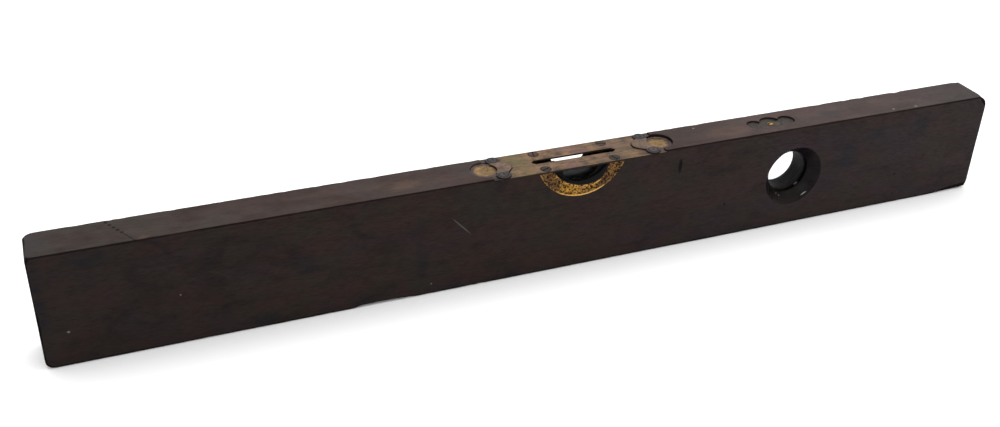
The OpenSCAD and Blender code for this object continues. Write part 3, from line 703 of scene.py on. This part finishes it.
def waviness(point):
    """How far old planing and wear have lowered a face at a point."""
    broad = noise.noise(Vector((point.x * 12, point.y * 30, point.z * 30)))
    close = noise.noise(Vector((point.x * 60, point.y * 150, point.z * 150)) + Vector((7, 7, 7)))
    return MM * (0.1 + 0.07 * broad + 0.035 * close)


# Number of small dents along the long edges, and the seed of their places
SMALL_KNOCKS = 90
KNOCK_SEED = 11


def knocks():
    """Dents along the long edges and the corners: centre, reach along each axis, depth."""
    dice = random.Random(KNOCK_SEED)
    made = []
    for i in range(SMALL_KNOCKS):
        x = dice.uniform(-HALF_LENGTH, HALF_LENGTH)
        y = dice.choice((-1, 1)) * HALF_WIDTH
        z = dice.choice((0.0, TOP, TOP))
        reach = dice.uniform(1.2, 3.0) * MM
        made.append((Vector((x, y, z)), Vector((reach * dice.uniform(1.2, 2.6), reach, reach)),
                     dice.uniform(0.1, 0.4) * MM))
    left, right, front, back = -HALF_LENGTH, HALF_LENGTH, -HALF_WIDTH, HALF_WIDTH
    large = [
        ((right, 0, 0), (42, 80, 7), 1.3), ((right, front, TOP), (9, 9, 9), 1.6),
        ((right - 7 * MM, back, TOP), (5, 5, 3), 0.6), ((left, front, 0), (5, 4, 6), 1.3),
        ((left, back, TOP), (6, 5, 4), 1.2), ((left, front, TOP), (4, 4, 4), 0.9),
    ]
    return made + [(Vector(centre), Vector(reach) * MM, depth * MM) for centre, reach, depth in large]


def dent(point, centre, reach, depth):
    """How deep a knock is at a point."""
    away = point - centre
    share = sum((part / limit) ** 2 for part, limit in zip(away, reach))
    return depth * (1 - share) ** 2 if share < 1 else 0.0


def splinter(point):
    """How far the long chip in the front bottom edge rises at a point, beyond the cut that is there."""
    x = point.x / MM
    left, middle, right = -158, -138, -114
    torn = clamp((x - left) / 5) * clamp((right - x) / 15) * 2.1
    cut = max(0.0, 1.7 * (1 - ((x - middle) / 19) ** 2))
    front = clamp((-point.y / MM - 4) / 8)
    low = clamp(1 - point.z / (7 * MM))
    return max(0.0, torn - cut) * front * low * MM


def inward(point):
    """Direction from a point near an outer edge towards the middle of the stock's section."""
    half = Vector((HALF_LENGTH, HALF_WIDTH, TOP / 2))
    centre = Vector((0, 0, TOP / 2))
    away = [(place - middle) / reach for place, middle, reach in zip(point, centre, half)]
    pull = Vector([-math.copysign(max(0.0, abs(part) - 0.8) / 0.2, part) for part in away])
    return pull.normalized() if pull.length > 0 else pull


def patches_on_stock():
    """Soft stains and tints, and a dark cool band of painted shade along the foot of the front, by the
    amount's name: a centre and the reach along each axis, in millimetres.
    """
    front = -HALF_WIDTH / MM
    top = TOP / MM
    return {
        "cool_tint_and_shade": [
            ((-251.8, front, 77.1), (11, 4, 5)), ((-189.9, front, 42.4), (13, 4, 10)),
            ((-218.6, front, 7.1), (15, 4, 8)), ((-154.4, front, 6.6), (13, 4, 8)),
            ((-321.0, front, 75.8), (20, 4, 7)), ((-110.5, front, 28.0), (6, 4, 18)),
            ((257.2, front, 60.0), (20, 4, 16)), ((292.0, front, 66.0), (12, 4, 8)),
            ((230.0, front, 50.0), (15, 4, 17)), ((293.1, front, 9.0), (14, 4, 7)),
            ((-356.0, front, 41.0), (11, 20, 60)), ((357.0, front, 41.0), (7, 20, 60)),
            # The first patch below is painted shade along the foot of the whole front
            ((0.0, front, 0.0), (370, 4, 5)), ((-352.0, 0, top), (20, 20, 3)),
            ((216.0, -2.7, top), (13, 9, 3)),
        ],
        "green": [
            ((-72.0, front, 66.0), (24, 4, 20)), ((52.0, front, 48.0), (20, 4, 8)),
            ((80.5, front, 63.0), (8, 4, 16)), ((-112.0, front, 10.0), (12, 4, 9)),
        ],
        "warm": [
            ((128.8, -1.3, top), (22, 9, 3)), ((-123.0, -2.5, top), (26, 8, 3)),
            ((-286.5, -13.0, top), (4, 3.2, 3)),
        ],
    }


# Reach of the faces' waviness from an edge, width of the rubbed bands, and depth of a fully worn knock
WAVE_REACH = 3 * MM
NARROW_BAND = 2.4 * MM
WIDE_BAND = 3.6 * MM
FULL_KNOCK = 0.4 * MM


def worn_point(start, marks):
    """Where wear has moved a point of the stock, and how worn the wood is there."""
    # Away from the edges rounded() gives back start itself, so the dents are measured where it has moved to
    depth = depth_in_stock(start)
    sides = (start.x, start.y, start.z - TOP / 2)
    point = rounded(start)
    fall = waviness(start)
    for axis in range(3):
        point[axis] -= math.copysign(fall * max(0.0, 1 - depth[axis] / WAVE_REACH), sides[axis])
    hit = 0.0
    for centre, reach, deepest in marks:
        if abs(start.x - centre.x) < reach.x:
            hit += dent(start, centre, reach, deepest)
    if hit > 0:
        point += inward(start) * hit
    point.z += splinter(start)
    narrow = (start.y < 0) == (start.z > TOP / 2)
    from_edge = sorted(depth)[1]
    rubbed = max(0.0, 1 - from_edge / (NARROW_BAND if narrow else WIDE_BAND))
    return point, max(min(1.0, hit / FULL_KNOCK), rubbed)


def patch_amount(point, patches):
    """The strongest of some soft patches at a point."""
    return max(min(1.0, 1.6 * dent(point, centre, reach, 1.0)) for centre, reach in patches)


def worn_stock():
    """The stock with round, rubbed and dented edges, wavy faces, and its stains painted on."""
    shape = welded_copy("stock")
    round_edges(shape, 0.25 * MM)
    cut_across(shape, 0, steps(-HALF_LENGTH, HALF_LENGTH, 2.2 * MM))
    cut_across(shape, 1, edge_places(HALF_WIDTH, 2.4 * MM))
    cut_across(shape, 2, [TOP / 2 + place for place in edge_places(TOP / 2, 3 * MM)])
    marks = knocks()
    wear = []
    for vert in shape.verts:
        vert.co, worn = worn_point(vert.co.copy(), marks)
        wear.append(worn)
    paint(shape, "wear", wear)
    for name, places in patches_on_stock().items():
        patches = [(Vector(centre) * MM, Vector(reach) * MM) for centre, reach in places]
        paint(shape, name, [patch_amount(vert.co, patches) for vert in shape.verts])
    finish_piece(shape, "stock_worn", "stock")


# The brass and steel pieces

def pitted(node, step, depth, scale, bevel, seed, waves=0.03, painted=None, material=None):
    """A metal piece whose faces are softened, slightly uneven and eaten into by pits."""
    shape = welded_copy(node)
    round_edges(shape, bevel * MM)
    low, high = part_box(node)
    for axis in range(3):
        if high[axis] - low[axis] > 2 * step * MM:
            cut_across(shape, axis, steps(low[axis], high[axis], step * MM))
    shape.normal_update()
    paint_measures(shape, painted)
    wear = []
    moves = []
    for vert in shape.verts:
        pit = noise.noise(vert.co * scale + Vector((seed, seed, seed)))
        pit = max(0.0, pit - 0.12) / 0.5
        wave = 0.5 + 0.5 * noise.noise(vert.co * 90 + Vector((seed, 4, 2)))
        moves.append(vert.normal * -(depth * min(1.0, pit) + waves * wave) * MM)
        wear.append(min(1.0, pit * 1.4))
    for vert, move in zip(shape.verts, moves):
        vert.co += move
    paint(shape, "wear", wear)
    finish_piece(shape, f"{node}_worn", node, material=material)


def softened(node, bevel, painted=None, material=None):
    """A small piece with its edges taken off."""
    shape = welded_copy(node)
    round_edges(shape, bevel * MM)
    paint_measures(shape, painted)
    finish_piece(shape, f"{node}_worn", node, material=material)


def wound_spring():
    """Round steel wire on the spring's helix, attached to no body. Its top stays under the plate."""
    wire = 0.45 * MM
    turns = 4
    rings = 24
    sides = 12
    low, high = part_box("adjusting_spring")
    middle = (low + high) / 2
    radius = (high.x - low.x) / 2 - wire
    rise = high.z - low.z - 2 * wire
    up = Vector((0, 0, 1))
    angles = [2 * math.pi * k / sides for k in range(sides)]
    shape = bmesh.new()
    count = turns * rings + 1
    loops = []
    for i in range(count):
        share = i / (count - 1)
        turn = 2 * math.pi * turns * share
        out = Vector((math.cos(turn), math.sin(turn), 0))
        centre = Vector((middle.x, middle.y, low.z + wire + rise * share)) + out * radius
        around = [out * math.cos(angle) + up * math.sin(angle) for angle in angles]
        loops.append([shape.verts.new(centre + way * wire) for way in around])
    for first, second in zip(loops, loops[1:]):
        for k in range(sides):
            after = (k + 1) % sides
            shape.faces.new((first[k], first[after], second[after], second[k]))
    shape.faces.new(list(reversed(loops[0])))
    shape.faces.new(loops[-1])
    bmesh.ops.recalc_face_normals(shape, faces=shape.faces)
    piece = finish_piece(shape, "adjusting_spring_wire", "adjusting_spring", rigid=False)
    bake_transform(piece)


def along_plate(point):
    """Distance along the plate from its middle, in millimetres."""
    return (point.x - LEVEL.x) / MM


def plate_end(point):
    """Grey tarnish on both ends of the plate's full-width part, and a thin cloud of it on the right."""
    x = along_plate(point)
    corner = 0.6 if abs(x) > 46 and abs(point.y) > 10 * MM else 0.0
    cloud = 0.3 * clamp(x / 20) * clamp(0.6 + 1.2 * noise.noise(point * 110))
    return max(cloud, 0.92 * clamp((abs(x) - 50) / 6 + 0.5 * noise.noise(point * 160) + corner))


def plate_seam_shade(fittings):
    """Painted shade in the seams round the plate's fittings, and a darker band on its outer corner at the
    left.
    """
    seam = near(fittings, 1.1 * MM)

    def amount(point):
        corner = along_plate(point) < -60 and point.y < -12 * MM
        return max(seam(point), 0.5 if corner else 0.0)

    return amount


def plate_olive(point):
    """Olive patches, strongest at the left of the plate."""
    x = along_plate(point)
    return clamp(1.2 - abs(x + 42) / 11) + 0.5 * clamp(1 - abs(x - 38) / 8)


def disc_rim(side, shift):
    """A disc's golden middle turns the brown-grey of the stock's top towards its rim."""
    centre = middle_of(f"{side}_end_disc")
    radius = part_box(f"{side}_end_disc")[1].x - centre.x

    def amount(point):
        away = Vector((point.x - centre.x, point.y - centre.y - 0.6 * MM)).length / radius
        return clamp((away - 0.6) / 0.2 + shift + 0.45 * noise.noise(point * 260))

    return amount


def collar_ears(point):
    """The collars' ears are darker than the lobe between them."""
    return clamp((abs(point.y) / MM - 6.2) / 2.2 + 0.25 * noise.noise(point * 300))


def lip_tint(point):
    """A plain brown patch on the right part of a lip, and duller horns."""
    x = along_plate(point)
    patch = 0.85 * clamp(1.5 - abs(x - 17) / 4.5)
    return max(patch, 0.7 * clamp((x - 13) / 5), 0.7 * clamp((-x - 11) / 8))


def lip_inner(point):
    """How far a point is outside the strip of painted shade along the opening, which widens to the right."""
    x = along_plate(point)
    radius = 24.6 + 4.0 * clamp((x + 20) / 30) * clamp((24 - x) / 8)
    return Vector((point.x - LEVEL.x, point.z - LIP_CENTRE)).length / MM - radius


# Painted shade: a black strip along the lip's inner edge, standing for the dark opening beyond it
def lip_shade_strip(point):
    return clamp(0.3 - lip_inner(point) / 0.5)


def lip_highlight(point):
    """Painted highlight on rubbed brass: the rim, the middle of the face and parts of its inner edge are
    made lighter.
    """
    x = along_plate(point)
    edge = clamp(1 - abs(lip_inner(point) - 0.7) / 0.6)
    inner = edge * max(clamp(1.4 - abs(x - 13.5) / 4), 0.5 * clamp(-x / 4))
    away = Vector((point.x - LEVEL.x, point.z - LIP_CENTRE)).length
    outer = clamp(((abs(point.y) - HALF_WIDTH) / MM + 0.5) / 0.3)
    horns = clamp((abs(x) - 15) / 5)
    rim = outer * clamp((away - (LIP_RADIUS - 1.2 * MM)) / (0.3 * MM)) * (1 - 0.75 * horns)
    middle = 0.3 * clamp(1 - abs(x - 4) / 14)
    return clamp(0.8 * rim + middle + inner)


def collar_screw_tint(point):
    """Brown dust on the collar screws, thickest on the one at the right front."""
    right_front = along_plate(point) > 0 and point.y < 0
    return clamp((0.85 if right_front else 0.15) + 0.4 * noise.noise(point * 420))


def slot_shade(centre, turn, half_wide, floor):
    """Painted shade in the straight slot of a screw's head."""
    across = Vector((-math.sin(turn), math.cos(turn), 0))

    def amount(point):
        return 1.0 if abs((point - centre).dot(across)) < half_wide and point.z < floor else 0.0

    return amount


def front_half(point):
    return 1.0 if point.y < 0 else 0.0


def olive_stain(point):
    return clamp(1.3 - (point - OLIVE_SPOT).length / (3 * MM))


def plate_and_fittings():
    fittings = ["left_end_disc", "right_end_disc", "left_collar", "right_collar", "plate_screws",
                "collar_screws"]
    # The plate gets painted shade in the seams round its fittings
    pitted("top_plate", step=0.85, depth=0.04, scale=420, bevel=0.12, seed=1.5, waves=0.06,
           painted={"shade_and_grime": plate_seam_shade(fittings), "tint": plate_end, "olive": plate_olive})
    for side, shift in (("left", 0.0), ("right", 0.25)):
        pitted(f"{side}_end_disc", step=0.6, depth=0.1, scale=750, bevel=0.12, seed=3.1,
               painted={"tint": disc_rim(side, shift)})
        # Painted shade round the collar screws
        pitted(f"{side}_collar", step=0.6, depth=0.06, scale=600, bevel=0.22, seed=5.2,
               painted={"tint": collar_ears, "shade_and_grime": near(["collar_screws"], 0.8 * MM)})
    softened("plate_screws", bevel=0.12, painted={"tint": front_half}, material=SCREW_BRASS)
    softened("collar_screws", bevel=0.12, painted={"tint": collar_screw_tint})


def side_lips():
    for side in ("front", "rear"):
        # The lips carry painted highlight, and painted shade along the opening
        pitted(f"{side}_side_lip", step=0.7, depth=0.2, scale=620, bevel=0.15, seed=8.3, material=LIP_BRASS,
               painted={"tint": lip_tint, "rub_and_highlight": lip_highlight, "shade_and_grime": lip_shade_strip})


def plumb_cover():
    """The plate in the three-lobed recess, and its slotted screw."""
    # Painted shade round the plumb plate's screw
    pitted("plumb_plate", step=0.6, depth=0.08, scale=520, bevel=0.12, seed=2.2,
           painted={"shade_and_grime": near(["plumb_plate_screw"], 0.9 * MM), "olive": olive_stain})
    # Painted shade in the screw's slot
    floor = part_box("plumb_plate_screw")[1].z - 0.3 * MM
    slot = slot_shade(middle_of("plumb_plate_screw"), math.radians(12), 0.46 * MM, floor)
    softened("plumb_plate_screw", bevel=0.06, painted={"shade_and_grime": slot})


def inner_works():
    softened("adjusting_screw", bevel=0.12)
    for node in ("hinge_bracket", "bracket_rivets", "hinge_pin", "vial_case", "case_hinge_end",
                 "case_screw_end"):
        softened(node, bevel=0.15)
    wound_spring()


def carried_nodes():
    """CAD nodes that stay as they are get their slot's material."""
    for node in ("left_plaster", "right_plaster", "vial_glass", "spirit", "bubble"):
        dress(NODES[node], SLOT_OF[node])


# The studio

CAMERA_PLACE = (-0.3210, -0.6595, 0.4699)
CAMERA_TURN = (59.217, -1.511, -21.577)
FOCAL_LENGTH = 42.98


def camera():
    lens = bpy.data.cameras.new("camera")
    lens.lens = FOCAL_LENGTH
    lens.sensor_width = 36
    lens.sensor_fit = "HORIZONTAL"
    lens.clip_start = 0.01
    made = bpy.data.objects.new("camera", lens)
    made.location = CAMERA_PLACE
    made.rotation_euler = [math.radians(turn) for turn in CAMERA_TURN]
    bpy.context.scene.collection.objects.link(made)
    bpy.context.scene.camera = made


def pale_stage(name, corners, brightness):
    mesh = bpy.data.meshes.new(name)
    mesh.from_pydata(corners, [], [range(len(corners))])
    made = bpy.data.objects.new(name, mesh)
    bpy.context.scene.collection.objects.link(made)
    look = Surface(name)
    tone = look.noise(look.stretch((3, 3, 3)), detail=2)
    colour = look.mix(tone, [brightness * 0.985] * 3, [brightness] * 3)
    look.set(Base_Color=colour, Roughness=0.7, Specular_IOR_Level=0.2)
    mesh.materials.append(look.material)


def studio():
    reach = 8.0
    corners = [(-reach, -reach, 0), (reach, -reach, 0), (reach, reach, 0), (-reach, reach, 0)]
    pale_stage("floor", corners, brightness=0.975)


def soft_light(name, place, target, size, power):
    lamp = bpy.data.lights.new(name, "AREA")
    lamp.shape = "RECTANGLE"
    lamp.size, lamp.size_y = size
    lamp.energy = power
    made = bpy.data.objects.new(name, lamp)
    made.location = place
    made.rotation_euler = (Vector(target) - Vector(place)).to_track_quat("-Z", "Y").to_euler()
    bpy.context.scene.collection.objects.link(made)


def lights():
    world = bpy.data.worlds.new("studio")
    world.use_nodes = True
    background = world.node_tree.nodes["Background"]
    background.inputs["Color"].default_value = (1, 1, 1, 1)
    background.inputs["Strength"].default_value = 1.05
    bpy.context.scene.world = world
    soft_light("overhead", (0.1, 0.25, 1.6), target=(0, 0, 0), size=(2.4, 1.2), power=18)
    soft_light("front_fill", (1.1, -1.6, 0.9), target=(0.1, 0, 0.04), size=(1.2, 1.0), power=4)
    view = bpy.context.scene.view_settings
    view.view_transform = "Standard"
    view.look = "None"


worn_stock()
plate_and_fittings()
side_lips()
plumb_cover()
inner_works()
carried_nodes()
camera()
studio()
lights()
